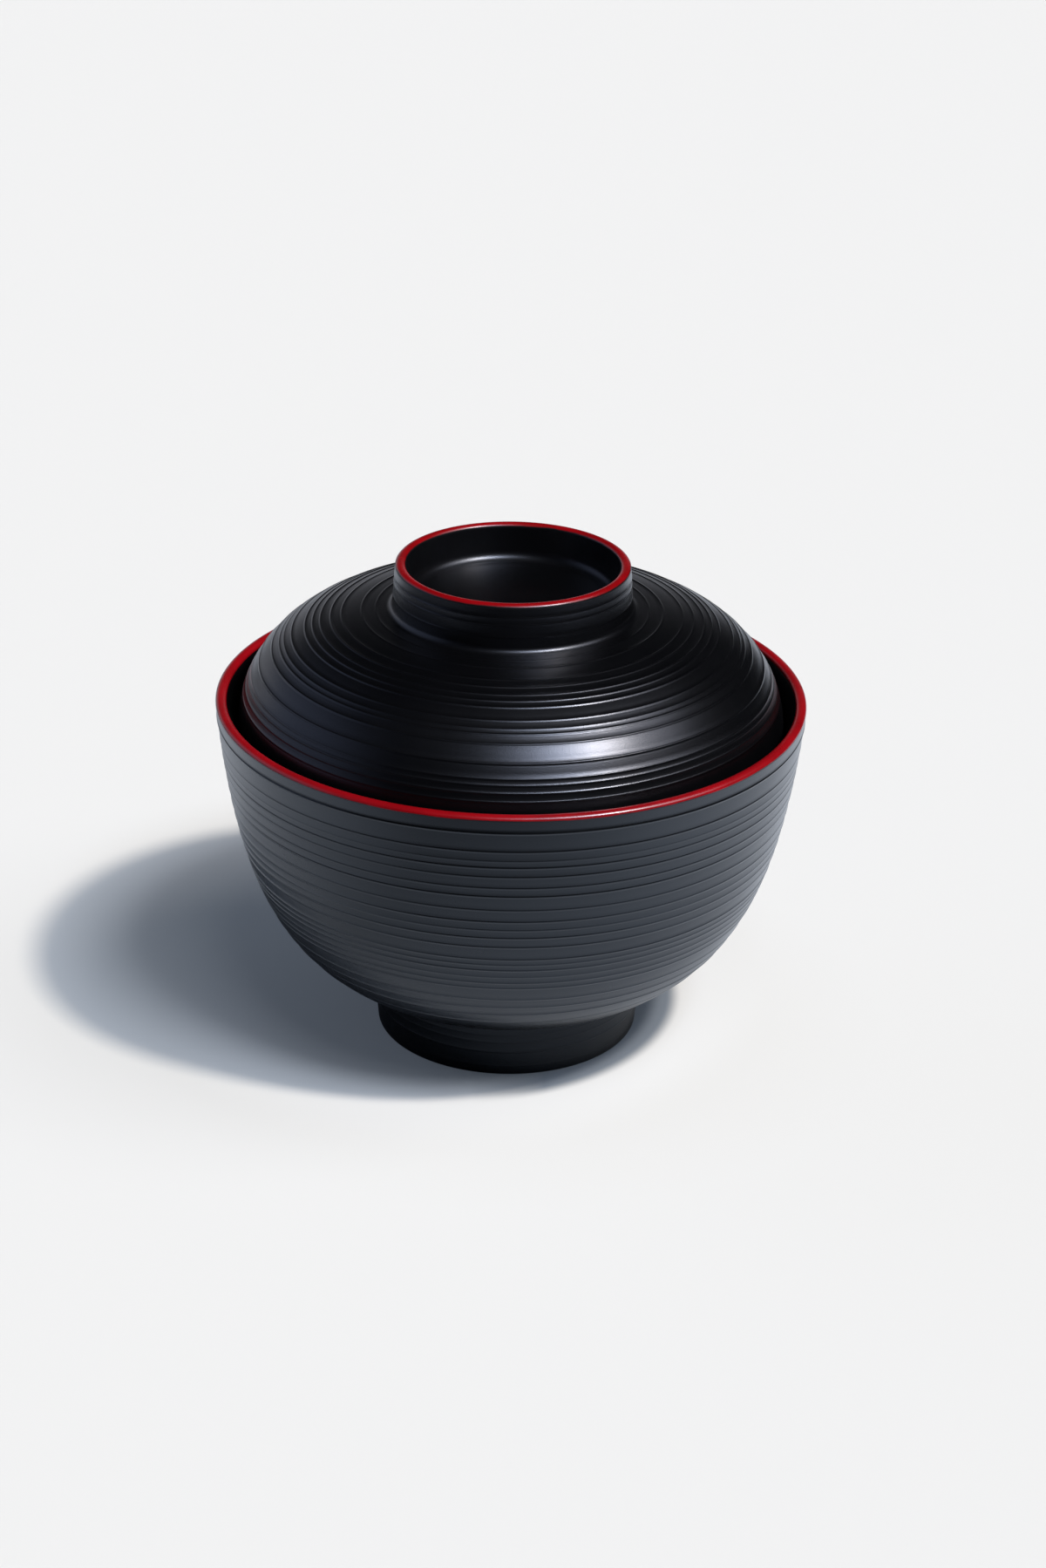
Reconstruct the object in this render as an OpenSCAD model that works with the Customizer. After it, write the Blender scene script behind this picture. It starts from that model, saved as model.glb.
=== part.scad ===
// Lacquer soup bowl with a drop-in lid, in millimetres.
// Both pieces are turned about Z. The foot stands on Z = 0.

/* [Bowl] */
// Outer diameter of the bowl at its lip
rim_d = 120; // [100:1:140]
// Height from the table to the top of the lip
bowl_h = 74.2; // [64:0.2:90]
// Height of the lowest point of the body's outer curve, inside the foot
body_base_h = 7.9; // [6:0.1:10]
// Thickness of the wall at the lip
lip_t = 2.2; // [1.8:0.1:3]
// Thickness of the wall below the lip, where the lid rests
wall_t = 3.5; // [3:0.1:4.5]
// Thickness of the body at its centre, from the outer curve to the inside
floor_t = 5.4; // [4:0.1:8]

/* [Foot] */
// Diameter of the foot where it stands
foot_d = 54.4; // [46:0.2:62]
// Diameter of the foot where the body rests on it
foot_top_d = 56; // [48:0.2:64]
// Thickness of the foot's ring where it stands
foot_wall_t = 3.2; // [2.4:0.1:5]
// Diameter of the hollow under the foot at its ceiling
foot_hollow_d = 46; // [36:0.5:48]
// Depth of the hollow under the foot
foot_hollow_h = 7; // [4:0.1:8]
// Rounding of the foot's standing edge
foot_round = 0.7; // [0.4:0.1:1.1]
// Rounding between the hollow's side and its ceiling
hollow_round = 2; // [1:0.1:3]

/* [Lid] */
// How far the lid's edge sits below the top of the bowl's lip
lid_drop = 8.2; // [6:0.1:10]
// Height of the dome above the lid's edge
dome_h = 26.9; // [22:0.1:34]
// Thickness of the dome half-way down its side
dome_t = 2.9; // [2.2:0.1:3.6]
// Depth of the lid's inside below the dome's curve, at the centre
dome_core_t = 2; // [1.6:0.1:3]
// Thickness of the lid at its edge
edge_t = 2.2; // [1.9:0.1:3]
// Rounding of the lid's edge
edge_round = 0.9; // [0.5:0.05:0.95]
// Clearance between the lid's edge and the bowl's wall
seat_gap = 0.3; // [0.2:0.05:0.6]

/* [Lid ring] */
// Outer diameter of the ring at its top
ring_d = 47.3; // [40:0.1:54]
// Outer diameter of the ring where it stands on the dome
ring_base_d = 48.4; // [41:0.1:56]
// Height of the ring above the dome
ring_h = 9.5; // [8.5:0.1:12]
// Thickness of the ring at its top
ring_t = 2.1; // [1.8:0.1:3]
// Thickness of the ring at the bottom of its hollow
ring_base_t = 3.1; // [2.2:0.1:4.5]
// Depth of the ring's hollow at the foot of its wall
ring_hollow_h = 7.7; // [4:0.1:9]
// How far the hollow's floor dips towards its centre
ring_dip = 0.4; // [0:0.05:0.8]
// Rounding between the ring's hollow and its floor
ring_hollow_round = 2.2; // [1:0.1:3]
// Rounding between the ring and the dome
ring_foot_round = 1.5; // [0.6:0.1:2]

/* [Red lacquer] */
// Height of the red coat on the bowl's lip
lip_coat_h = 1; // [0.8:0.05:1.6]
// Rounding of the bowl's lip
lip_round = 0.85; // [0.4:0.05:0.9]
// Height of the red coat on the ring's lip
ring_coat_h = 0.9; // [0.8:0.05:1.6]
// Rounding of the ring's lip
ring_round = 0.8; // [0.4:0.05:0.85]

/* [Turned lines] */
// Width of the small step that shows as a line
line_w = 0.4; // [0.3:0.05:0.7]
// How far the face steps out at a full line on the body and the dome
line_h = 0.1; // [0.04:0.01:0.12]
// How far the face steps out at a full line on the foot and the ring
fine_line_h = 0.07; // [0.03:0.01:0.1]

/* [Hidden] */
$fn = 96;
black = "#17181a";
red = "#9c0f18";

// Outer curve of the body, from the lip to the axis, as shares of the lip's
// radius and of the height between the lip's coat and the curve's lowest point
body_curve_shares = [[1, 1], [0.966, 0.676], [0.89, 0.274], [0.757, 0], [0, 0]];
// Outer curve of the dome, from the axis to the edge, as shares of the edge's
// radius and of the dome's height above the edge's rounding
dome_curve_shares = [[0, 1], [0.513, 1], [0.727, 1.06], [1.012, 0.645], [1, 0]];

// Places of the turned lines as shares of the face that carries them, and how
// far the face steps out at each. The turner spaces them by eye: close together
// in some bands, wide in others. The line under the bowl's lip is the boldest.
body_line_shares = [
    0.035, 0.094, 0.123, 0.144, 0.173, 0.208, 0.235, 0.279, 0.317, 0.345, 0.372,
    0.404, 0.449, 0.47, 0.491, 0.518, 0.543, 0.566, 0.621, 0.663, 0.707, 0.768
];
body_step_out_shares = [
    1.5, 0.8, 0.4, 0.8, 0.8, 0.7, 0.8, 0.8, 0.9, 0.5, 0.9,
    0.9, 1, 0.7, 0.8, 0.5, 0.6, 0.6, 0.6, 0.5, 0.6, 0.4
];
dome_line_shares = [
    0.031, 0.088, 0.174, 0.224, 0.274, 0.313, 0.352, 0.427, 0.473, 0.501, 0.551,
    0.647, 0.719, 0.748, 0.784, 0.822
];
dome_step_out_shares = [
    0.5, 0.8, 0.7, 0.9, 0.9, 0.9, 0.9, 0.9, 0.8, 0.7, 0.9,
    1.1, 0.9, 0.9, 0.9, 0.7
];
foot_line_shares = [0.18, 0.335, 0.54, 0.85];
foot_step_out_shares = [0.8, 0.8, 1, 0.4];
ring_line_shares = [0.22, 0.41, 0.735];
ring_step_out_shares = [1, 0.9, 0.8];

// Longest straight step along a curve, as a share of it
step_share = 0.02;
// Share of the body's curve over which the lip's thickness grows to the wall's
lip_blend_share = 0.08;
// Where the inside of the wall and of the dome leave their lip and edge
wall_start_share = 0.012;
dome_end_share = 0.96;
quarter_turn = 90;
round_steps = 6;
floor_steps = 6;
halvings = 30;

rim_r = rim_d / 2;
ring_r = ring_d / 2;
ring_base_r = ring_base_d / 2;
lip_seat_h = bowl_h - lip_coat_h;
body_curve = [for (s = body_curve_shares)
    [rim_r * s[0], mix(body_base_h, lip_seat_h, s[1])]];
edge_h = bowl_h - lid_drop;
edge_top_h = edge_h + edge_round;
edge_r = wall_at(edge_top_h)[0] - seat_gap;
dome_top_h = edge_h + dome_h;
dome_curve = [for (s = dome_curve_shares)
    [edge_r * s[0], mix(edge_top_h, dome_top_h, s[1])]];
ring_top_h = dome_top_h + ring_h;
ring_seat_h = ring_top_h - ring_coat_h;
ring_floor_h = ring_top_h - ring_hollow_h;

function mix(a, b, s) = a + (b - a) * s;
function unit(v) = v / norm(v);

// Point at share s of the smooth curve that control points c draw
function at(c, s) = len(c) == 1 ? c[0]
    : at([for (i = [0 : len(c) - 2]) mix(c[i], c[i + 1], s)], s);

// How fast the curve runs there, for a whole share
function rate(c, s) = (len(c) - 1)
    * at([for (i = [0 : len(c) - 2]) c[i + 1] - c[i]], s);

// Outward direction there, for a curve that runs outward or down
function outward(c, s) = let (v = unit(rate(c, s))) [-v[1], v[0]];

// Share between lo and hi at which f, which falls all the way, reaches v
function reach(f, v, lo = 0, hi = 1, left = halvings) =
    let (m = (lo + hi) / 2)
    left == 0 ? m
    : f(m) > v ? reach(f, v, m, hi, left - 1)
    : reach(f, v, lo, m, left - 1);

// Inside of the bowl's wall at share s of the body's curve
function wall_thickness(s) = mix(
    mix(lip_t, wall_t, sin(quarter_turn * min(1, s / lip_blend_share))),
    floor_t, s * s);
function wall_inside(s) = at(body_curve, s)
    - outward(body_curve, s) * wall_thickness(s);
function wall_at(h) = wall_inside(reach(function (s) wall_inside(s)[1], h));

// Inside of the dome at share s of its curve. The third control value brings
// the thickness to dome_t half-way.
dome_thickness = [
    dome_core_t,
    dome_core_t,
    (8 * dome_t - 4 * dome_core_t - edge_t) / 3,
    edge_t
];
function dome_inside(s) = at(dome_curve, s)
    - outward(dome_curve, s) * at(dome_thickness, s);

// A turned face along curve c between two of its shares. At each line the face
// steps out a little, and it eases back to the curve by the next line.
function lined(c, line_shares, step_out_shares, h, from = 0, to = 1) =
    let (places = [for (s = line_shares) mix(from, to, s)])
    let (n = len(places))
    [for (i = [0 : n])
        let (a = i == 0 ? from
            : places[i - 1] + line_w / norm(rate(c, places[i - 1])))
        let (b = i == n ? to : places[i])
        let (stands_out = i == 0 ? 0 : h * step_out_shares[i - 1])
        let (k = max(1, ceil((b - a) / step_share)))
        each [for (j = [0 : k])
            let (s = mix(a, b, j / k))
            at(c, s) + outward(c, s) * stands_out * (1 - j / k)
        ]
    ];

// Rounding of radius r about a centre, from angle a to angle b
function rounding(centre, r, a, b) = [for (j = [0 : round_steps])
    centre + r * [
        cos(mix(a, b, j / round_steps)),
        sin(mix(a, b, j / round_steps))
    ]];

// The same points in the other order, without the one that the outline
// before them ends on
function turned_back(points) =
    [for (i = [len(points) - 2 : -1 : 0]) points[i]];

// The points after the first
function rest(points) = [for (i = [1 : len(points) - 1]) points[i]];

// Bowl, turned in one piece with its foot
module bowl() {
    foot_share = reach(function (s) at(body_curve, s)[0], foot_top_d / 2);
    foot_side = [at(body_curve, foot_share), [foot_d / 2, foot_round]];
    stand_r = foot_d / 2 - foot_wall_t;
    hollow_r = foot_hollow_d / 2;
    color(black)
        rotate_extrude()
            polygon(concat(
                [[0, foot_hollow_h]],
                rounding(
                    [hollow_r - hollow_round, foot_hollow_h - hollow_round],
                    hollow_round, quarter_turn, 0),
                rounding(
                    [stand_r + foot_round, foot_round],
                    foot_round, 2 * quarter_turn, 3 * quarter_turn),
                rounding(
                    [foot_d / 2 - foot_round, foot_round],
                    foot_round, -quarter_turn, 0),
                turned_back(lined(foot_side, foot_line_shares,
                    foot_step_out_shares, fine_line_h)),
                turned_back(lined(body_curve, body_line_shares,
                    body_step_out_shares, line_h, 0, foot_share)),
                [[rim_r - lip_t, lip_seat_h]],
                [for (s = [wall_start_share : step_share : 1]) wall_inside(s)],
                [wall_inside(1)]
            ));
}

// Red coat over a lip: flat below, rounded above
module lip_coat(outer_r, t, seat_h, h, edge) {
    color(red)
        rotate_extrude()
            polygon(concat(
                [[outer_r - t, seat_h], [outer_r, seat_h]],
                rounding([outer_r - edge, seat_h + h - edge],
                    edge, 0, quarter_turn),
                rounding([outer_r - t + edge, seat_h + h - edge],
                    edge, quarter_turn, 2 * quarter_turn)
            ));
}

module bowl_lip_lacquer() {
    lip_coat(rim_r, lip_t, lip_seat_h, lip_coat_h, lip_round);
}

// Lid, turned in one piece with its ring
module lid() {
    ring_share = reach(
        function (s) -at(dome_curve, s)[0],
        -(ring_base_r + ring_foot_round));
    ring_foot = at(dome_curve, ring_share);
    ring_side = [
        [ring_r, ring_seat_h],
        [ring_base_r, ring_foot[1] + ring_foot_round]
    ];
    hollow_r = ring_base_r - ring_base_t;
    floor_curve = [
        [hollow_r - ring_hollow_round, ring_floor_h],
        [hollow_r / 2, ring_floor_h - ring_dip],
        [0, ring_floor_h - ring_dip]
    ];
    color(black)
        rotate_extrude()
            polygon(concat(
                [dome_inside(0)],
                [for (s = [step_share : step_share : dome_end_share])
                    dome_inside(s)],
                rounding([edge_r - edge_t + edge_round, edge_top_h],
                    edge_round, 2 * quarter_turn, 3 * quarter_turn),
                rounding([edge_r - edge_round, edge_top_h],
                    edge_round, -quarter_turn, 0),
                turned_back(lined(dome_curve, dome_line_shares,
                    dome_step_out_shares, line_h, ring_share, 1)),
                rest(rounding([ring_base_r + ring_foot_round,
                        ring_foot[1] + ring_foot_round],
                    ring_foot_round, 3 * quarter_turn, 2 * quarter_turn)),
                turned_back(lined(ring_side, ring_line_shares,
                    ring_step_out_shares, fine_line_h)),
                [[ring_r - ring_t, ring_seat_h]],
                rounding([hollow_r - ring_hollow_round,
                        ring_floor_h + ring_hollow_round],
                    ring_hollow_round, 0, -quarter_turn),
                [for (j = [1 : floor_steps]) at(floor_curve, j / floor_steps)]
            ));
}

module lid_ring_lacquer() {
    lip_coat(ring_r, ring_t, ring_seat_h, ring_coat_h, ring_round);
}

bowl();
bowl_lip_lacquer();
lid();
lid_ring_lacquer();
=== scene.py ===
import math

import bpy
from mathutils import Matrix, Vector


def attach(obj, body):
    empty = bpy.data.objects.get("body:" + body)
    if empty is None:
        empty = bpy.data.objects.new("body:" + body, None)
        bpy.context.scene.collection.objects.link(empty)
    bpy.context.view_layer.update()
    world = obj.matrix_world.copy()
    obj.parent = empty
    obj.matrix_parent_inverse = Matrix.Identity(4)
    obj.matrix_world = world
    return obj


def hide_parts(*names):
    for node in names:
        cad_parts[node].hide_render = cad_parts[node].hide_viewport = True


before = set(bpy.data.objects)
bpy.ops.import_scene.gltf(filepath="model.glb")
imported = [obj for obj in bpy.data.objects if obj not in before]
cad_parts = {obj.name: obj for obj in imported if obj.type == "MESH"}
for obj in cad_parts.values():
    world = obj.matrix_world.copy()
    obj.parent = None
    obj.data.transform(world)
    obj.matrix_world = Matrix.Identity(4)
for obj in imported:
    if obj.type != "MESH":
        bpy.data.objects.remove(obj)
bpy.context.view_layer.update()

MM = 0.001
MM_PER_M = 1000.0

# ---------------------------------------------------------------- the turned shapes, in millimetres

RIM_R, BOWL_H, BODY_BASE_H = 60.0, 74.2, 7.9
LIP_T, WALL_T, FLOOR_T = 2.2, 3.5, 5.4
FOOT_R, FOOT_TOP_R, FOOT_WALL_T = 27.2, 28.0, 3.2
FOOT_HOLLOW_R, FOOT_HOLLOW_H, FOOT_ROUND, HOLLOW_ROUND = 23.0, 7.0, 0.7, 2.0
EDGE_H, DOME_H, EDGE_T, EDGE_ROUND, SEAT_GAP = 66.0, 26.9, 2.2, 0.9, 0.3
DOME_T, DOME_CORE_T = 2.9, 2.0
RING_R, RING_BASE_R, RING_H, RING_T, RING_BASE_T = 23.65, 24.2, 9.5, 2.1, 3.1
RING_HOLLOW_H, RING_DIP, RING_HOLLOW_ROUND, RING_FOOT_ROUND = 7.7, 0.4, 2.2, 1.5
LIP_COAT_H, LIP_ROUND, RING_COAT_H, RING_ROUND = 1.0, 0.85, 0.9, 0.8
# Shares of the curves where the lip's thickness has grown to the wall's, where the
# bowl's inside starts below the lip, and where the dome's inside ends
LIP_BLEND_SHARE, WALL_START_SHARE, DOME_END_SHARE = 0.08, 0.012, 0.96

# A line is a small step outward: its height, the widths over which it rises and
# falls back, how early it starts, and the share of its height left after the fall
LINE_H, FINE_LINE_H, RISE_W, FALL_W = 0.11, 0.07, 0.3, 0.42
LINE_LEAD, RISE_POWER, LEFT_SHARE = 0.13, 1.5, 0.2

# How finely the outlines are drawn: the points close after a line and the share of
# the way to the next line that they may take, the gap between the other points, the
# parts of the smooth curves, of the roundings and of a full turn, and how many times
# a search halves its range
BRINK_POINTS = (0, 0.08, 0.15, 0.22, 0.3, 0.37, 0.45, 0.53, 0.61, 0.69, 0.77, 0.9, 1.1)
BRINK_SHARE, POINT_GAP = 0.8, 0.8
WALL_PARTS, DOME_PARTS, FLOOR_PARTS, SEGMENTS = 38, 48, 14, 216
ROUND_PARTS, RING_ROUND_PARTS, LIP_ROUND_PARTS = 8, 10, 14
SEARCH_HALVINGS = 40
# Radius of a row of points on the flat under the foot, the radius up to which a point
# counts as on the axis, and the angle from which an edge is shown sharp
FOOT_FLAT_R, ON_AXIS_R, SHARP_DEGREES = 11.0, 1e-6, 40

LIP_SEAT_H = BOWL_H - LIP_COAT_H
EDGE_TOP_H = EDGE_H + EDGE_ROUND
DOME_TOP_H = EDGE_H + DOME_H
RING_TOP_H = DOME_TOP_H + RING_H
RING_SEAT_H = RING_TOP_H - RING_COAT_H

BODY_LINES = [0.035, 0.094, 0.123, 0.144, 0.173, 0.208, 0.235, 0.279, 0.317, 0.345, 0.372,
              0.404, 0.449, 0.47, 0.491, 0.518, 0.543, 0.566, 0.621, 0.663, 0.707, 0.768]
BODY_STEPS = [1.5, 0.85, 0.5, 0.9, 0.9, 0.85, 0.95, 0.95, 1.05, 0.7, 1.1,
              1.1, 1.25, 0.95, 1.1, 0.8, 0.95, 0.9, 0.9, 0.8, 0.9, 0.6]
DOME_LINES = [0.031, 0.088, 0.174, 0.224, 0.274, 0.313, 0.352, 0.427, 0.473, 0.501, 0.551,
              0.647, 0.719, 0.748, 0.784, 0.822]
DOME_STEPS = [0.6, 0.9, 0.9, 1.25, 1.35, 1.4, 1.35, 1.1, 1, 0.9, 1, 1.25, 1, 1, 1, 0.8]
FOOT_LINES, FOOT_STEPS = [0.18, 0.335, 0.54, 0.85], [0.8, 0.8, 1, 0.4]
RING_LINES, RING_STEPS = [0.22, 0.41, 0.735], [1, 0.9, 0.8]
# The lines are counted on, so that those of foot and ring wander in their own way
FIRST_FOOT_LINE, FIRST_RING_LINE = 40, 50


def mix(a, b, s):
    return a + (b - a) * s


def along(curve, s):
    """Point at share s of the smooth curve that the control points draw."""
    points = [Vector(p) for p in curve]
    while len(points) > 1:
        points = [mix(p, q, s) for p, q in zip(points, points[1:])]
    return points[0]


def pace(curve, s):
    """How fast that curve runs there, for a whole share."""
    steps = [Vector(q) - Vector(p) for p, q in zip(curve, curve[1:])]
    return along(steps, s) * len(steps)


def outward(curve, s):
    """Which way is out of the turned face there."""
    run = pace(curve, s).normalized()
    return Vector((-run.y, run.x))


def share_where(falls, value):
    """Share at which a falling measure reaches the value."""
    low, high = 0.0, 1.0
    for _ in range(SEARCH_HALVINGS):
        middle = (low + high) / 2
        low, high = (middle, high) if falls(middle) > value else (low, middle)
    return (low + high) / 2


BODY = [(RIM_R * r, mix(BODY_BASE_H, LIP_SEAT_H, h))
        for r, h in [(1, 1), (0.966, 0.676), (0.89, 0.274), (0.757, 0), (0, 0)]]


def inside_of_wall(s):
    """Inside of the bowl's wall, which grows towards the foot."""
    swell = math.sin(math.pi / 2 * min(1, s / LIP_BLEND_SHARE))
    thick = mix(mix(LIP_T, WALL_T, swell), FLOOR_T, s * s)
    return along(BODY, s) - outward(BODY, s) * thick


EDGE_R = inside_of_wall(share_where(lambda s: inside_of_wall(s).y, EDGE_TOP_H)).x - SEAT_GAP
DOME = [(EDGE_R * r, mix(EDGE_TOP_H, DOME_TOP_H, h))
        for r, h in [(0, 1), (0.513, 1), (0.727, 1.06), (1.012, 0.645), (1, 0)]]


def inside_of_dome(s):
    """Inside of the lid. The third value brings it to its full thickness halfway down."""
    halfway = (8 * DOME_T - 4 * DOME_CORE_T - EDGE_T) / 3
    thick = along([(t, 0) for t in (DOME_CORE_T, DOME_CORE_T, halfway, EDGE_T)], s).x
    return along(DOME, s) - outward(DOME, s) * thick


# An outline is a list of (radius, height, outward radius, outward height,
# depth below the curve, line number).

def plain(point):
    return (point[0], point[1], 0.0, 0.0, 0.0, 0)


def rounded(centre, r, start, end, parts=ROUND_PARTS, wide=1.0):
    """An arc from one angle to the other, in degrees."""
    turns = [math.radians(mix(start, end, j / parts)) for j in range(parts + 1)]
    return [plain((centre[0] + wide * r * math.cos(a), centre[1] + r * math.sin(a)))
            for a in turns]


def with_lines(curve, lines, steps, h, start=0.0, end=1.0, first_line=0):
    """A turned face. At each line it steps out, and it eases back by the next line."""
    places = [mix(start, end, s) for s in lines]
    marks = []
    for number in range(len(places) + 1):
        low = start if number == 0 else places[number - 1]
        high = end if number == len(places) else places[number]
        speed = pace(curve, low).length
        width = (high - low) * speed
        if number == 0:
            count = max(2, round(width / POINT_GAP))
            marks += [(mix(low, high, j / count), 0.0, 0) for j in range(count)]
            continue
        out = h * steps[number - 1]
        near = [t for t in BRINK_POINTS if t < width * BRINK_SHARE]
        count = max(1, round((width - near[-1]) / POINT_GAP))
        for t in near + [mix(near[-1], width, j / count) for j in range(1, count)]:
            marks.append((low + (t - LINE_LEAD) / speed, out * step_out(t, width),
                          first_line + number - 1))
    marks.append((end, 0.0, 0))
    points = []
    for s, out, number in marks:
        p, n = along(curve, s), outward(curve, s)
        points.append((p.x, p.y, n.x, n.y, -out, number))
    return points


def step_out(t, width):
    """How far the face stands out t mm past a line, as a share of the line's step."""
    rise = math.sin(math.pi / 2 * min(1.0, t / RISE_W)) ** RISE_POWER
    fall = 0.5 - 0.5 * math.cos(math.pi * min(1.0, max(0.0, t - RISE_W) / FALL_W))
    return rise * mix(1.0, LEFT_SHARE, fall) * (1 - t / width)


def bowl_outline():
    foot_share = share_where(lambda s: along(BODY, s).x, FOOT_TOP_R)
    foot_side = [along(BODY, foot_share), (FOOT_R, FOOT_ROUND)]
    stand_r = FOOT_R - FOOT_WALL_T
    foot = [plain((0, FOOT_HOLLOW_H)), plain((FOOT_FLAT_R, FOOT_HOLLOW_H))]
    foot += rounded((FOOT_HOLLOW_R - HOLLOW_ROUND, FOOT_HOLLOW_H - HOLLOW_ROUND),
                    HOLLOW_ROUND, 90, 0)
    foot += rounded((stand_r + FOOT_ROUND, FOOT_ROUND), FOOT_ROUND, 180, 270)
    foot += rounded((FOOT_R - FOOT_ROUND, FOOT_ROUND), FOOT_ROUND, -90, 0)
    foot += with_lines(foot_side, FOOT_LINES, FOOT_STEPS, FINE_LINE_H,
                       first_line=FIRST_FOOT_LINE)[::-1][1:]
    outside = with_lines(BODY, BODY_LINES, BODY_STEPS, LINE_H, 0, foot_share)[::-1][1:]
    inside = [plain((RIM_R - LIP_T, LIP_SEAT_H))]
    inside += [plain(inside_of_wall(mix(WALL_START_SHARE, 1, j / WALL_PARTS)))
               for j in range(WALL_PARTS + 1)]
    return foot, outside, inside


def lid_outline():
    ring_foot_r = RING_BASE_R + RING_FOOT_ROUND
    ring_share = 1 - share_where(lambda s: along(DOME, 1 - s).x, ring_foot_r)
    ring_foot_h = along(DOME, ring_share).y + RING_FOOT_ROUND
    ring_side = [(RING_R, RING_SEAT_H), (RING_BASE_R, ring_foot_h)]
    hollow_r, floor_h = RING_BASE_R - RING_BASE_T, RING_TOP_H - RING_HOLLOW_H
    floor = [(hollow_r - RING_HOLLOW_ROUND, floor_h), (hollow_r / 2, floor_h - RING_DIP),
             (0, floor_h - RING_DIP)]
    inside = [plain(inside_of_dome(mix(0, DOME_END_SHARE, j / DOME_PARTS)))
              for j in range(DOME_PARTS + 1)]
    outside = rounded((EDGE_R - EDGE_T + EDGE_ROUND, EDGE_TOP_H), EDGE_ROUND, 180, 270)
    outside += rounded((EDGE_R - EDGE_ROUND, EDGE_TOP_H), EDGE_ROUND, -90, 0)
    outside += with_lines(DOME, DOME_LINES, DOME_STEPS, LINE_H, ring_share, 1)[::-1][1:]
    outside += rounded((ring_foot_r, ring_foot_h), RING_FOOT_ROUND, 270, 180, RING_ROUND_PARTS)[1:]
    outside += with_lines(ring_side, RING_LINES, RING_STEPS, FINE_LINE_H,
                          first_line=FIRST_RING_LINE)[::-1][1:]
    outside += [plain((RING_R - RING_T, RING_SEAT_H))]
    outside += rounded((hollow_r - RING_HOLLOW_ROUND, floor_h + RING_HOLLOW_ROUND),
                       RING_HOLLOW_ROUND, 0, -90, RING_ROUND_PARTS)
    outside += [plain(along(floor, j / FLOOR_PARTS)) for j in range(1, FLOOR_PARTS + 1)]
    return inside, outside


def lip_coat_outline(r, thick, seat_h, h, edge):
    """The rounded band of red that lies on a lip."""
    middle_h, wide = seat_h + h - edge, thick / 2 / edge
    return ([plain((r - thick, seat_h)), plain((r - thick / 2, seat_h)), plain((r, seat_h))]
            + rounded((r - thick / 2, middle_h), edge, 0, 90, LIP_ROUND_PARTS, wide)
            + rounded((r - thick / 2, middle_h), edge, 90, 180, LIP_ROUND_PARTS, wide)[1:])


# Each wave in a line's depth: how much, how often round the piece, how far shifted
WOBBLES = [(0.09, 1, 1.0), (0.07, 2, 2.3), (0.05, 5, 3.1)]
WOBBLE_SHIFT = 1.7


def hand_wobble(number, a):
    """The depth of a line wanders a little as the turner's hand does."""
    k = number * WOBBLE_SHIFT
    return 1 + sum(much * math.sin(often * a + shift * k) for much, often, shift in WOBBLES)


def turn(name, bands, materials, closed=False, segments=SEGMENTS):
    """Turns bands of outline about Z. Each band takes the material of its own number."""
    outline = [(p, band) for band, points in enumerate(bands) for p in points]
    verts, rings, faces, bands_of, sides = [], [], [], [], []
    lengths = [0.0]
    for (p, _), (q, _) in zip(outline, outline[1:] + outline[:1]):
        lengths.append(lengths[-1] + math.hypot(q[0] - p[0], q[1] - p[1]))
    for (r, h, out_r, out_h, cut, number), _ in outline:
        if r < ON_AXIS_R:
            rings.append([len(verts)] * segments)
            verts.append((0.0, 0.0, h * MM))
            continue
        ring = []
        for j in range(segments):
            a = 2 * math.pi * j / segments
            depth = cut * hand_wobble(number, a) if cut else 0.0
            rr = (r - out_r * depth) * MM
            ring.append(len(verts))
            verts.append((rr * math.cos(a), rr * math.sin(a), (h - out_h * depth) * MM))
        rings.append(ring)
    last = len(outline) if closed else len(outline) - 1
    for i in range(last):
        low, high = rings[i], rings[(i + 1) % len(outline)]
        v0, v1 = lengths[i] / lengths[-1], lengths[i + 1] / lengths[-1]
        for j in range(segments):
            k = (j + 1) % segments
            corners = [(low[j], j, v0), (low[k], j + 1, v0),
                       (high[k], j + 1, v1), (high[j], j, v1)]
            if low[0] == low[1]:
                corners = [(low[j], j + 0.5, v0), corners[2], corners[3]]
            elif high[0] == high[1]:
                corners = [corners[0], corners[1], (high[j], j + 0.5, v1)]
            faces.append([c[0] for c in corners])
            sides.append([(c[1] / segments, c[2]) for c in corners])
            bands_of.append(outline[(i + 1) % len(outline)][1])
    mesh = bpy.data.meshes.new(name)
    mesh.from_pydata(verts, [], faces)
    for material in materials:
        mesh.materials.append(material)
    mesh.polygons.foreach_set("material_index", bands_of)
    mesh.polygons.foreach_set("use_smooth", [True] * len(faces))
    unrolled = mesh.uv_layers.new(name="unrolled")
    unrolled.data.foreach_set("uv", [c for corners in sides for uv in corners for c in uv])
    mesh.update()
    mesh.set_sharp_from_angle(angle=math.radians(SHARP_DEGREES))
    piece = bpy.data.objects.new(name, mesh)
    bpy.context.scene.collection.objects.link(piece)
    return piece


# ---------------------------------------------------------------- lacquers

def add(tree, kind, values=None, **settings):
    made = tree.nodes.new(kind)
    for key, value in settings.items():
        setattr(made, key, value)
    for key, value in (values or {}).items():
        made.inputs[key].default_value = value
    return made


def join(tree, *pairs):
    for source, target in pairs:
        tree.links.new(source, target)


def group(name, inputs, output):
    tree = bpy.data.node_groups.new(name, "ShaderNodeTree")
    for label, value in inputs:
        made = tree.interface.new_socket(label, in_out="INPUT", socket_type="NodeSocketFloat")
        made.default_value = value
    tree.interface.new_socket(output, in_out="OUTPUT", socket_type="NodeSocketFloat")
    return tree, add(tree, "NodeGroupInput").outputs, add(tree, "NodeGroupOutput").inputs[output]


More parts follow.
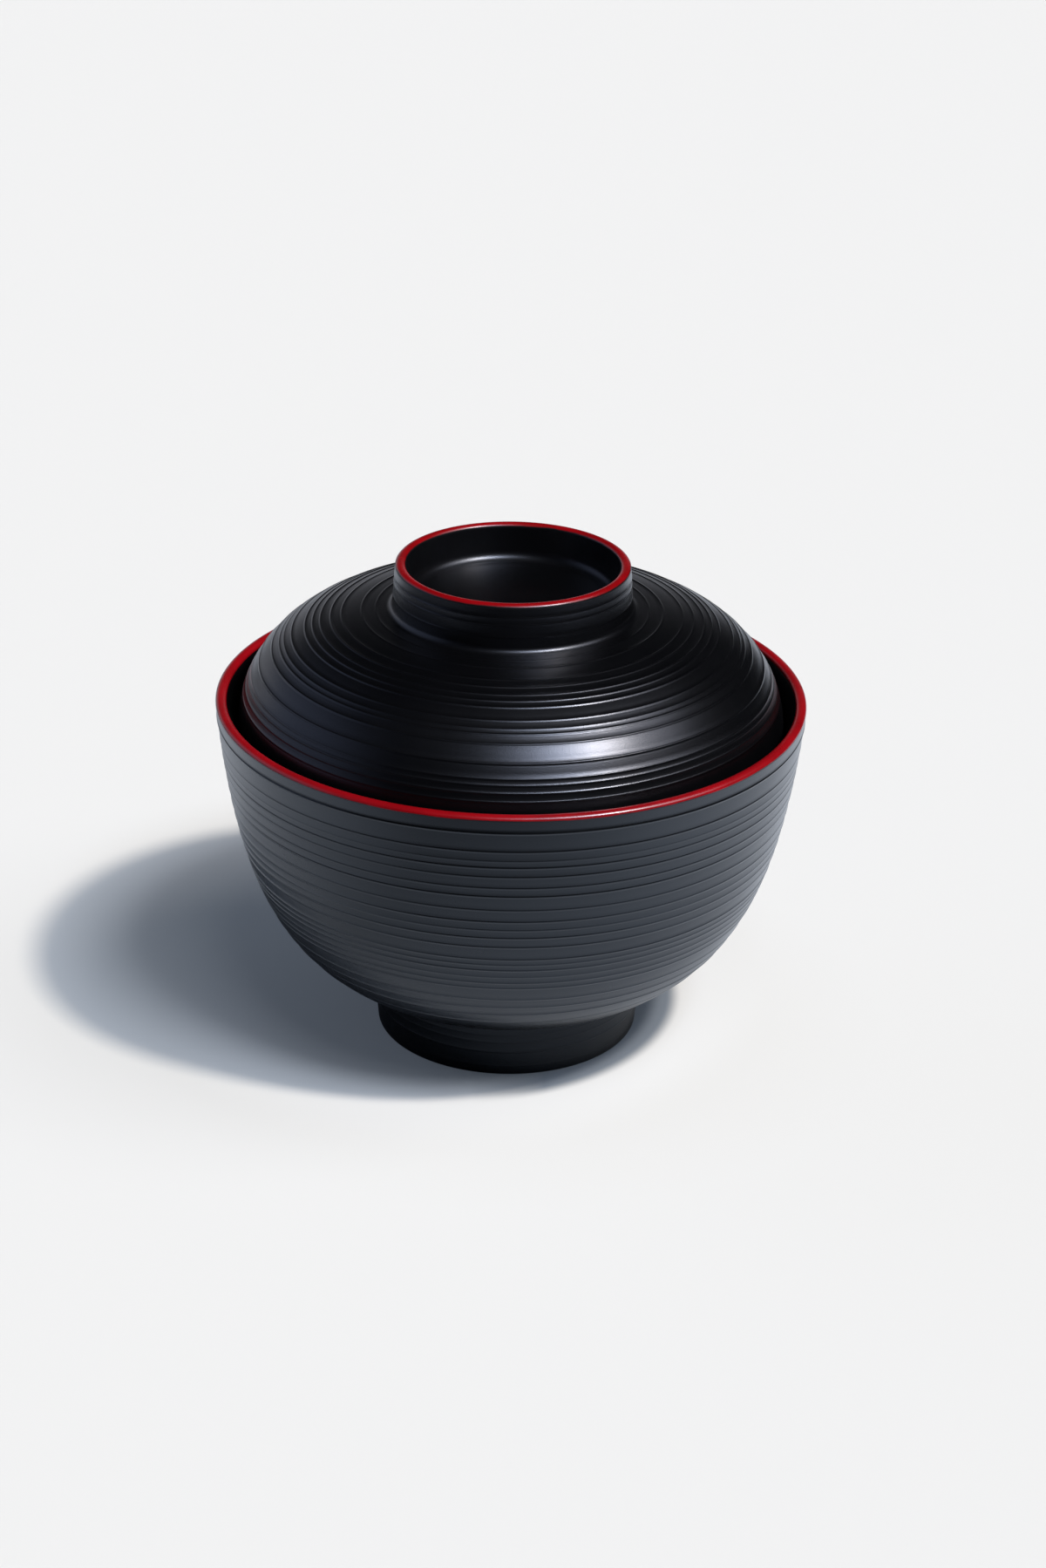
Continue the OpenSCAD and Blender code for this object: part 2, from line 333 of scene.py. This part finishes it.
def math_node(tree, operation, a, b=None, clamp=False):
    made = add(tree, "ShaderNodeMath", operation=operation, use_clamp=clamp)
    for socket, value in zip(made.inputs, (a, b)):
        if value is None:
            continue
        if isinstance(value, (int, float)):
            socket.default_value = value
        else:
            join(tree, (value, socket))
    return made.outputs[0]


def plus(tree, a, b, clamp=False):
    return math_node(tree, "ADD", a, b, clamp)


def minus(tree, a, b):
    return math_node(tree, "SUBTRACT", a, b)


def times(tree, a, b, clamp=False):
    return math_node(tree, "MULTIPLY", a, b, clamp)


def over(tree, a, b):
    return math_node(tree, "DIVIDE", a, b)


def ramp(tree, value, start, end, low=0.0, high=1.0, smooth=False):
    """Runs from low to high while the value runs from start to end, and stays there."""
    made = add(tree, "ShaderNodeMapRange",
               {"From Min": start, "From Max": end, "To Min": low, "To Max": high},
               interpolation_type="SMOOTHSTEP" if smooth else "LINEAR")
    join(tree, (value, made.inputs["Value"]))
    return made.outputs["Result"]


def blend(tree, share, first, second, **settings):
    """A colour between two. Each is a fixed colour or another node's."""
    made = add(tree, "ShaderNodeMix", data_type="RGBA", **settings)
    for socket, colour in ((made.inputs["A"], first), (made.inputs["B"], second)):
        if isinstance(colour, tuple):
            socket.default_value = colour + (1,)
        else:
            join(tree, (colour, socket))
    join(tree, (share, made.inputs["Factor"]))
    return made.outputs["Result"]


def noise(tree, place, scale, detail, rough=0.5, **settings):
    made = add(tree, "ShaderNodeTexNoise", {"Detail": detail, "Roughness": rough}, **settings)
    join(tree, (place, made.inputs["Vector"]))
    if isinstance(scale, float):
        made.inputs["Scale"].default_value = scale
    else:
        join(tree, (scale, made.inputs["Scale"]))
    return made.outputs["Fac"]


def radius_and_height(tree):
    """The piece's own coordinates, and from them in millimetres the distance from the
    axis of turning and the height."""
    place = add(tree, "ShaderNodeTexCoord").outputs["Object"]
    parts = add(tree, "ShaderNodeSeparateXYZ")
    join(tree, (place, parts.inputs[0]))
    x, y, z = (times(tree, out, MM_PER_M) for out in parts.outputs)
    return place, math_node(tree, "SQRT", plus(tree, times(tree, x, x), times(tree, y, y))), z


# The share of a turning mark that is left in its faintest patches
FAINTEST_MARKS = 0.3
# How fast the red fills up inside the middle of the lip, per mm
INNER_SLOPE = 4.0
# The black beyond the brushed edge, and how much duller than the red it is
BLACK_EDGE, BLACK_EDGE_DULL = (0.0014, 0.0013, 0.0016), 0.15
# Sizes in mm of the patches of shade and of polish
SHADE_PATCH, POLISH_PATCH = 9.0, 22.0


def make_turning_marks():
    """Fine rings that the tool leaves all round, fainter and stronger in places."""
    tree, given, out = group("Turning marks", [("Spacing mm", 0.4), ("Drift", 0.5)], "Height")
    place, r, z = radius_and_height(tree)
    shift = times(tree, noise(tree, place, 45.0, 1.0), given["Drift"])
    rings = add(tree, "ShaderNodeCombineXYZ")
    join(tree, (over(tree, plus(tree, r, shift), given["Spacing mm"]), rings.inputs[0]),
         (over(tree, plus(tree, z, shift), given["Spacing mm"]), rings.inputs[1]))
    marks = noise(tree, rings.outputs[0], 1.0, 2.0, 0.6, noise_dimensions="2D")
    patches = plus(tree, noise(tree, place, 60.0, 1.0), FAINTEST_MARKS)
    join(tree, (times(tree, marks, patches), out))
    return tree


def make_lacquer_grain():
    """The fine grain of a rubbed lacquer skin."""
    tree, given, out = group("Lacquer grain", [("Size mm", 0.25)], "Height")
    place = add(tree, "ShaderNodeTexCoord").outputs["Object"]
    join(tree, (noise(tree, place, over(tree, MM_PER_M, given["Size mm"]), 2.0, 0.55), out))
    return tree


def make_rubbing():
    """Broad soft patches where the polish is a little higher or lower."""
    tree, given, out = group("Rubbing", [("Size mm", 18.0), ("Low", 0.3), ("High", 0.4)], "Level")
    place = add(tree, "ShaderNodeTexCoord").outputs["Object"]
    patches = noise(tree, place, over(tree, MM_PER_M, given["Size mm"]), 3.0)
    spread = ramp(tree, patches, 0.3, 0.7, smooth=True)
    join(tree, (plus(tree, given["Low"],
                     times(tree, spread, minus(tree, given["High"], given["Low"]))), out))
    return tree


def make_brushed_edge():
    """Where the red brush stopped: an edge at a height on the outer side, wandering all
    round. Inside the middle of the lip all is red."""
    tree, given, out = group("Brushed edge", [("Edge height mm", 73.6), ("Wander mm", 0.2),
                                              ("Softness mm", 0.15), ("Middle radius mm", 58.9)],
                             "Red")
    place, r, z = radius_and_height(tree)
    wander = times(tree, minus(tree, noise(tree, place, 130.0, 3.0, 0.6), 0.5), given["Wander mm"])
    above = over(tree, plus(tree, minus(tree, z, given["Edge height mm"]), wander),
                 given["Softness mm"])
    inner = times(tree, minus(tree, given["Middle radius mm"], r), INNER_SLOPE, clamp=True)
    join(tree, (math_node(tree, "MAXIMUM", plus(tree, above, 0.5, clamp=True), inner), out))
    return tree


def placed(tree, effect, values):
    made = add(tree, "ShaderNodeGroup", node_tree=effect)
    for key, value in values.items():
        made.inputs[key].default_value = value
    return made.outputs[0]


def lacquer(name, shade, light_shade, level, marks, grain, sheen=(0.78, 0.87, 1.0),
            level_of_shine=0.5, ior=1.57, red=None):
    """A lacquer skin: two close shades, an uneven polish between two levels of roughness,
    and in relief turning marks and grain, each as (size in mm, height in mm)."""
    material = bpy.data.materials.new(name)
    material.use_nodes = True
    tree = material.node_tree
    tree.nodes.clear()
    skin = add(tree, "ShaderNodeBsdfPrincipled", {"IOR": ior, "Specular Tint": sheen + (1,),
                                                  "Specular IOR Level": level_of_shine})
    surface = add(tree, "ShaderNodeOutputMaterial")
    join(tree, (skin.outputs[0], surface.inputs["Surface"]))

    clouds = placed(tree, RUBBING, {"Size mm": SHADE_PATCH, "Low": 0.0, "High": 1.0})
    colour = blend(tree, clouds, shade, light_shade)
    rough = placed(tree, RUBBING, {"Size mm": POLISH_PATCH, "Low": level[0], "High": level[1]})
    if red:
        coated = placed(tree, BRUSHED_EDGE, red)
        colour = blend(tree, coated, BLACK_EDGE, colour)
        rough = plus(tree, rough, times(tree, minus(tree, 1.0, coated), BLACK_EDGE_DULL))
    join(tree, (colour, skin.inputs["Base Color"]), (rough, skin.inputs["Roughness"]))

    rings = placed(tree, TURNING_MARKS, {"Spacing mm": marks[0]})
    speckle = placed(tree, LACQUER_GRAIN, {"Size mm": grain[0]})
    relief = plus(tree, times(tree, rings, marks[1]), times(tree, speckle, grain[1]))
    bump = add(tree, "ShaderNodeBump", {"Strength": 1.0, "Distance": MM})
    join(tree, (relief, bump.inputs["Height"]), (bump.outputs[0], skin.inputs["Normal"]))
    return material


TURNING_MARKS = make_turning_marks()
LACQUER_GRAIN = make_lacquer_grain()
RUBBING = make_rubbing()
BRUSHED_EDGE = make_brushed_edge()

black_body = lacquer("black lacquer on the body", (0.0005, 0.0005, 0.0007),
                     (0.0009, 0.0009, 0.0012), (0.27, 0.31), (0.5, 0.006), (0.2, 0.010))
black_lid = lacquer("black lacquer on the lid", (0.0004, 0.0004, 0.0006),
                    (0.0008, 0.0008, 0.0010), (0.30, 0.33), (0.5, 0.006), (0.22, 0.016),
                    sheen=(0.80, 0.84, 1.0), level_of_shine=0.41, ior=1.68)
black_inside = lacquer("black lacquer inside", (0.0003, 0.0003, 0.0005),
                       (0.0006, 0.0006, 0.0008), (0.26, 0.31), (0.8, 0.008), (0.3, 0.003))
black_foot = lacquer("black lacquer on the foot", (0.0004, 0.0004, 0.0006),
                     (0.0008, 0.0008, 0.0010), (0.42, 0.48), (0.5, 0.010), (0.13, 0.014),
                     level_of_shine=0.3)
red_bowl_lip = lacquer("red lacquer on the bowl's lip", (0.24, 0.0012, 0.004),
                       (0.31, 0.002, 0.006), (0.25, 0.29), (0.3, 0.001), (0.3, 0.0007),
                       level_of_shine=0.6,
                       red={"Edge height mm": 73.4, "Wander mm": 0.5, "Softness mm": 0.22,
                            "Middle radius mm": 58.9})
red_ring_lip = lacquer("red lacquer on the ring's lip", (0.21, 0.0008, 0.002),
                       (0.28, 0.0014, 0.004), (0.24, 0.28), (0.3, 0.001), (0.3, 0.0007),
                       level_of_shine=0.5,
                       red={"Edge height mm": 101.98, "Wander mm": 0.45, "Softness mm": 0.22,
                            "Middle radius mm": 0.0})

# ---------------------------------------------------------------- the pieces

foot, outside, inside = bowl_outline()
bowl = turn("turned_bowl", [foot, outside, inside], [black_foot, black_body, black_inside])
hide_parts("bowl")
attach(bowl, "bowl_body")

lip_band = lip_coat_outline(RIM_R, LIP_T, LIP_SEAT_H, LIP_COAT_H, LIP_ROUND)
bowl_coat = turn("bowl_lip_coat", [lip_band], [red_bowl_lip], closed=True)
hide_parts("bowl_lip_lacquer")
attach(bowl_coat, "bowl_body")

inside, outside = lid_outline()
lid = turn("turned_lid", [inside, outside], [black_inside, black_lid])
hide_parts("lid")
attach(lid, "lid_body")

ring_band = lip_coat_outline(RING_R, RING_T, RING_SEAT_H, RING_COAT_H, RING_ROUND)
ring_coat = turn("ring_lip_coat", [ring_band], [red_ring_lip], closed=True)
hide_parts("lid_ring_lacquer")
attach(ring_coat, "lid_body")

# ---------------------------------------------------------------- table, light and camera

# Colours of the table, from its light and shade in the photograph, painted light and painted shade
# among them
SEEN_WHITE, PAINTED_BRIGHT_WHITE_BY_BOWL = (0.724, 0.713, 0.695), (0.788, 0.783, 0.777)
PAINTED_CLOSE_SHADE, PAINTED_GLOW = (0.175, 0.20, 0.24), (0.66, 0.80, 1.0)
REFLECTED_DARK, REFLECTED_WHITE = (0.0, 0.0, 0.0), (0.74, 0.79, 0.87)
# Middle of the arc that the edge of the painted close shade follows, in metres
PAINTED_SHADE_MIDDLE = (-0.0118, 0.0102, 0)


def reflected_table(tree, x, y, from_foot):
    """The table as the lacquer meets it, with light and shade painted into its colour: brighter
    towards the lamps, dimmer on the left though rising again far to the left, painted darker
    close to the foot, and gone in the dark far to the sides and in front. It is tuned until the
    reflections match the photograph."""
    across = plus(tree, ramp(tree, x, -0.06, 0.15, 0.55, 1.34),
                  ramp(tree, x, -0.07, -0.17, 0.0, 0.5))
    # Painted shade: the reflected table is darker close to the foot
    painted_shade_by_foot = ramp(tree, from_foot, 0.026, 0.062, 0.68, 1.05)
    beside = ramp(tree, math_node(tree, "ABSOLUTE", x), 0.34, 0.17, 0.06, smooth=True)
    towards_front = ramp(tree, y, -0.29, -0.07, 0.06, smooth=True)
    lit = times(tree, times(tree, across, painted_shade_by_foot), times(tree, beside, towards_front))
    return blend(tree, lit, REFLECTED_DARK, REFLECTED_WHITE, clamp_factor=False)


def seen_table(tree, place, x):
    """The table as the camera meets it: an even white that keeps the shadow. Round the bowl
    painted light makes it a little brighter, against the faint outer shadow of the broad lamps.
    On the right, close under the body, it has a painted band of shade, which the photograph
    shows and the lamps here don't give."""
    from_belly = add(tree, "ShaderNodeVectorMath", operation="DISTANCE")
    from_belly.inputs[1].default_value = PAINTED_SHADE_MIDDLE
    join(tree, (place, from_belly.inputs[0]))
    near = from_belly.outputs["Value"]
    # Painted light: the white is a little brighter round the bowl
    white = blend(tree, ramp(tree, near, 0.070, 0.046, smooth=True),
                  SEEN_WHITE, PAINTED_BRIGHT_WHITE_BY_BOWL)
    # Painted shade: a dark band on the right, close under the body
    shade = times(tree, ramp(tree, near, 0.0496, 0.0460, smooth=True),
                  ramp(tree, x, -0.007, 0.008))
    return blend(tree, shade, white, PAINTED_CLOSE_SHADE)


def make_table_skin():
    material = bpy.data.materials.new("white table")
    material.use_nodes = True
    tree = material.node_tree
    skin = tree.nodes["Principled BSDF"]
    for key, value in {"Roughness": 0.9, "Specular IOR Level": 0.0,
                       "Emission Color": PAINTED_GLOW + (1,)}.items():
        skin.inputs[key].default_value = value
    place = add(tree, "ShaderNodeTexCoord").outputs["Object"]
    parts = add(tree, "ShaderNodeSeparateXYZ")
    from_foot = add(tree, "ShaderNodeVectorMath", operation="LENGTH")
    join(tree, (place, parts.inputs[0]), (place, from_foot.inputs[0]))
    x, y, near = parts.outputs["X"], parts.outputs["Y"], from_foot.outputs["Value"]
    lens_sees = add(tree, "ShaderNodeLightPath").outputs["Is Camera Ray"]
    colour = blend(tree, lens_sees, reflected_table(tree, x, y, near), seen_table(tree, place, x))
    # Painted light: a faint bluish glow, for the camera only, that lifts the shadow; it is weaker
    # close to the foot, which paints the shade darker there
    painted_glow_there = times(tree, lens_sees, ramp(tree, near, 0.028, 0.08, 0.052, 0.099))
    join(tree, (colour, skin.inputs["Base Color"]), (painted_glow_there, skin.inputs["Emission Strength"]))
    return material


TABLE_R, TABLE_SIDES = 1.6, 96
table_turns = [2 * math.pi * j / TABLE_SIDES for j in range(TABLE_SIDES)]
table_mesh = bpy.data.meshes.new("table")
table_mesh.from_pydata([(TABLE_R * math.cos(a), TABLE_R * math.sin(a), 0) for a in table_turns],
                       [], [list(range(TABLE_SIDES))])
table_mesh.materials.append(make_table_skin())
table = bpy.data.objects.new("table", table_mesh)
bpy.context.scene.collection.objects.link(table)

LAMP_DISTANCE = 1.5


def studio_lamp(name, towards, strength, colour, spread):
    """A far lamp in a direction, whose face is as many degrees wide as its spread."""
    light = bpy.data.lights.new(name, "SUN")
    light.energy, light.color, light.angle = strength, colour, math.radians(spread)
    lamp = bpy.data.objects.new(name, light)
    lamp.rotation_mode = "QUATERNION"
    lamp.rotation_quaternion = Vector(towards).to_track_quat("Z", "Y")
    lamp.location = Vector(towards).normalized() * LAMP_DISTANCE
    bpy.context.scene.collection.objects.link(lamp)
    return lamp


def sky_direction(azimuth, elevation):
    a, e = math.radians(azimuth), math.radians(elevation)
    return (math.cos(a) * math.cos(e), math.sin(a) * math.cos(e), math.sin(e))


WARM, COOL, NEARLY_WHITE = (1.0, 0.92, 0.80), (0.79, 0.873, 1.0), (0.95, 0.96, 1.0)
studio_lamp("warm lamp from the right", sky_direction(-34.5, 54), 2.25, WARM, 4.8)
studio_lamp("cool broad lamp from the front", sky_direction(-49.5, 55.2), 1.46, COOL, 17)
studio_lamp("cool dim lamp further round", sky_direction(-73, 58.3), 0.36, COOL, 19)
studio_lamp("broad dim lamp on the right", sky_direction(-12, 52), 0.65, NEARLY_WHITE, 34)

# Colours of the room that the lacquer reflects, and the white that the camera sees
ROOM_DARK, LEFT_PANEL, BACK_WALL = (0.006, 0.007, 0.009), (0.32, 0.37, 0.50), (0.60, 0.61, 0.66)
SEEN_BACKGROUND = (0.888, 0.888, 0.888)

room = bpy.data.worlds.new("studio")
bpy.context.scene.world = room
room.use_nodes = True
sky = room.node_tree
sky.nodes.clear()
where = add(sky, "ShaderNodeTexCoord").outputs["Generated"]


def glow(direction, fades_at, full_at):
    """How much of a soft panel a direction meets, from the cosine of the angle to its middle."""
    facing = add(sky, "ShaderNodeVectorMath", operation="DOT_PRODUCT")
    facing.inputs[1].default_value = direction
    join(sky, (where, facing.inputs[0]))
    return ramp(sky, facing.outputs["Value"], fades_at, full_at, smooth=True)


left_panel = glow(sky_direction(165, 6), 0.66, 0.98)
back_wall = times(sky, glow(sky_direction(112, 0), 0.70, 0.93), glow((0, 0, -1), -0.30, -0.02))
walls = blend(sky, back_wall, blend(sky, left_panel, ROOM_DARK, LEFT_PANEL), BACK_WALL)
lens_sees = add(sky, "ShaderNodeLightPath").outputs["Is Camera Ray"]
ground = add(sky, "ShaderNodeBackground", {"Strength": 1.0})
sky_out = add(sky, "ShaderNodeOutputWorld")
join(sky, (blend(sky, lens_sees, walls, SEEN_BACKGROUND), ground.inputs["Color"]),
     (ground.outputs[0], sky_out.inputs["Surface"]))

# The camera of the photograph, fitted for a distance of 700 mm. Lengths here are in
# millimetres, and the focal length is in pixels of the photograph.
DISTANCE, ELEVATION, ROLL = 700.0, math.radians(25.511), math.radians(0.973)
FOCAL_PX, PHOTO_PX, FILM_W, ORBIT_H = 3876.86, 1799, 36, 45
stand = Vector((0, -DISTANCE * math.cos(ELEVATION), ORBIT_H + DISTANCE * math.sin(ELEVATION)))
aim = Vector((2.701, 0, 53.373))
forward = (aim - stand).normalized()
right = forward.cross(Vector((0, 0, 1))).normalized()
up = right.cross(forward)
turned_right = right * math.cos(ROLL) + up * math.sin(ROLL)
turned_up = up * math.cos(ROLL) - right * math.sin(ROLL)
lens = bpy.data.cameras.new("camera")
lens.lens = FOCAL_PX / PHOTO_PX * FILM_W
lens.clip_start, lens.clip_end = 0.05, 20
camera = bpy.data.objects.new("camera", lens)
camera.matrix_world = Matrix((
    (turned_right.x, turned_up.x, -forward.x, stand.x * MM),
    (turned_right.y, turned_up.y, -forward.y, stand.y * MM),
    (turned_right.z, turned_up.z, -forward.z, stand.z * MM),
    (0, 0, 0, 1)))
bpy.context.scene.collection.objects.link(camera)
bpy.context.scene.camera = camera
bpy.context.scene.view_settings.view_transform = "Standard"
